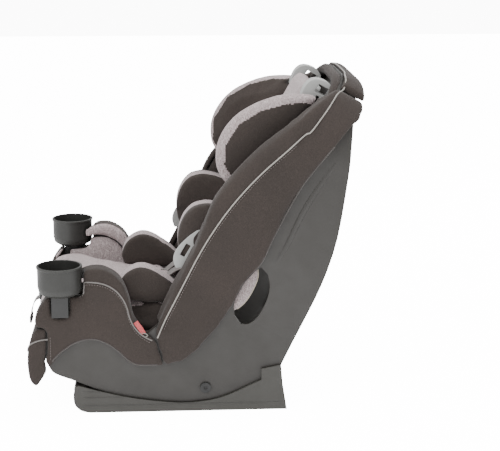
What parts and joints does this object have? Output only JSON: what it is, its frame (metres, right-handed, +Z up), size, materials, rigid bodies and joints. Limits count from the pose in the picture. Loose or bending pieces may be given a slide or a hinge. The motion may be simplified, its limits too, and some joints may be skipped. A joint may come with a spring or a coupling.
{
  "type": "convertible car seat",
  "caption": "Reclining child car seat: padded bucket on a low rocker base, sliding winged headrest with belt guides, harness, cup holders and belt paths.",
  "frame": {"origin": "centre of the flat underside of the base, in line with the middle of the seat", "axes": "-Y towards the front of the seat, +X towards the occupant's left, +Z up; -Z is the outward normal of the underside"},
  "size_m": [0.47, 0.6235, 0.6029],
  "materials": {
    "base_plastic": "fine grain",
    "shell_plastic": "fine grain",
    "steel": "brushed",
    "brown_fabric": "close knit",
    "heather_fabric": "heathered weave",
    "red_tag": "woven",
    "trim_plastic": "satin",
    "webbing": "ribbed webbing",
    "dark_plastic": "fine grain",
    "button_red": "satin",
    "cup_plastic": "fine grain",
    "foam": "closed-cell foam"
  },
  "bodies": {
    "base": {"base_tray": "base_plastic", "pivot_bolts": "steel", "pivot_nuts": "steel", "recline_racks": "steel", "rack_screws": "steel"},
    "seat": {"seat_shell": "shell_plastic", "back_cover_left": "brown_fabric", "back_cover_right": "brown_fabric", "crown_cover": "brown_fabric", "thigh_bolster_left": "brown_fabric", "thigh_bolster_right": "brown_fabric", "side_foam_left": "foam", "side_foam_right": "foam", "front_apron": "brown_fabric", "seat_cushion": "heather_fabric", "backrest_pad": "heather_fabric", "hip_bolster_left": "brown_fabric", "hip_bolster_right": "brown_fabric", "torso_bolster_left": "brown_fabric", "torso_bolster_right": "brown_fabric", "belt_path_roll_left": "heather_fabric", "belt_path_roll_right": "heather_fabric", "belt_path_tag_left": "red_tag", "belt_path_tag_right": "red_tag", "harness_holder_left": "trim_plastic", "harness_holder_right": "trim_plastic", "headrest_racks": "trim_plastic", "harness_strap_left": "webbing", "harness_strap_right": "webbing", "harness_pad_left": "brown_fabric", "harness_pad_right": "brown_fabric", "crotch_strap": "webbing", "buckle_housing": "dark_plastic", "buckle_tongue_left": "steel", "buckle_tongue_right": "steel", "splitter_plate": "steel", "rear_strap": "webbing", "adjuster_housing": "dark_plastic", "adjuster_strap": "webbing", "adjuster_strap_end": "dark_plastic", "cup_bracket_left": "cup_plastic", "cup_bracket_right": "cup_plastic"},
    "headrest": {"headrest_frame": "shell_plastic", "headrest_pad": "heather_fabric", "headrest_wing_left": "brown_fabric", "headrest_wing_right": "brown_fabric", "belt_guide_left": "trim_plastic", "belt_guide_right": "trim_plastic"},
    "headrest_lever": {"headrest_lever": "trim_plastic"},
    "headrest_lock": {"headrest_lock_rod": "steel"},
    "recline_release": {"recline_handle": "trim_plastic", "recline_latch_bar": "steel"},
    "buckle_button": {"buckle_button": "button_red"},
    "adjuster_button": {"adjuster_button": "trim_plastic"},
    "chest_clip": {"chest_clip": "dark_plastic"},
    "cup_left": {"cup_holder_left": "cup_plastic"},
    "cup_right": {"cup_holder_right": "cup_plastic"}
  },
  "joints": [
    {"name": "recline", "type": "hinge", "parent": "base", "child": "seat", "pos_m": [0, 0.047, 0.043], "axis": [-1, 0, 0], "range_deg": [0, 26]},
    {"name": "headrest_slide", "type": "slide", "parent": "seat", "child": "headrest", "axis": [0, 0.4924, 0.8704], "range_m": [0, 0.11]},
    {"name": "headrest_lever_squeeze", "type": "slide", "parent": "headrest", "child": "headrest_lever", "axis": [0, 0.4924, 0.8704], "range_m": [0, 0.008], "stiffness_N_per_m": 600, "springref_m": -0.002},
    {"name": "headrest_lock_pull", "type": "slide", "parent": "headrest", "child": "headrest_lock", "axis": [0, 0.8704, -0.4924], "range_m": [0, 0.006], "stiffness_N_per_m": 600, "springref_m": -0.002},
    {"name": "recline_release", "type": "slide", "parent": "seat", "child": "recline_release", "axis": [0, -1, 0], "range_m": [0, 0.012], "stiffness_N_per_m": 800, "springref_m": -0.002},
    {"name": "buckle_button_press", "type": "slide", "parent": "seat", "child": "buckle_button", "axis": [0, 0.0698, -0.9976], "range_m": [0, 0.004], "stiffness_N_per_m": 1500, "springref_m": -0.001},
    {"name": "adjuster_button_press", "type": "slide", "parent": "seat", "child": "adjuster_button", "axis": [0, 1, 0], "range_m": [0, 0.005], "stiffness_N_per_m": 1000, "springref_m": -0.001},
    {"name": "chest_clip_slide", "type": "slide", "parent": "seat", "child": "chest_clip", "axis": [0, 0.4924, 0.8704], "range_m": [-0.03, 0.018]},
    {"name": "cup_left_lift", "type": "slide", "parent": "seat", "child": "cup_left", "axis": [0, 0, 1], "range_m": [0, 0.06]},
    {"name": "cup_right_lift", "type": "slide", "parent": "seat", "child": "cup_right", "axis": [0, 0, 1], "range_m": [0, 0.06]}
  ],
  "couplings": [
    {"joint": "headrest_lock_pull", "follows": "headrest_lever_squeeze", "ratio": 0.75}
  ]
}
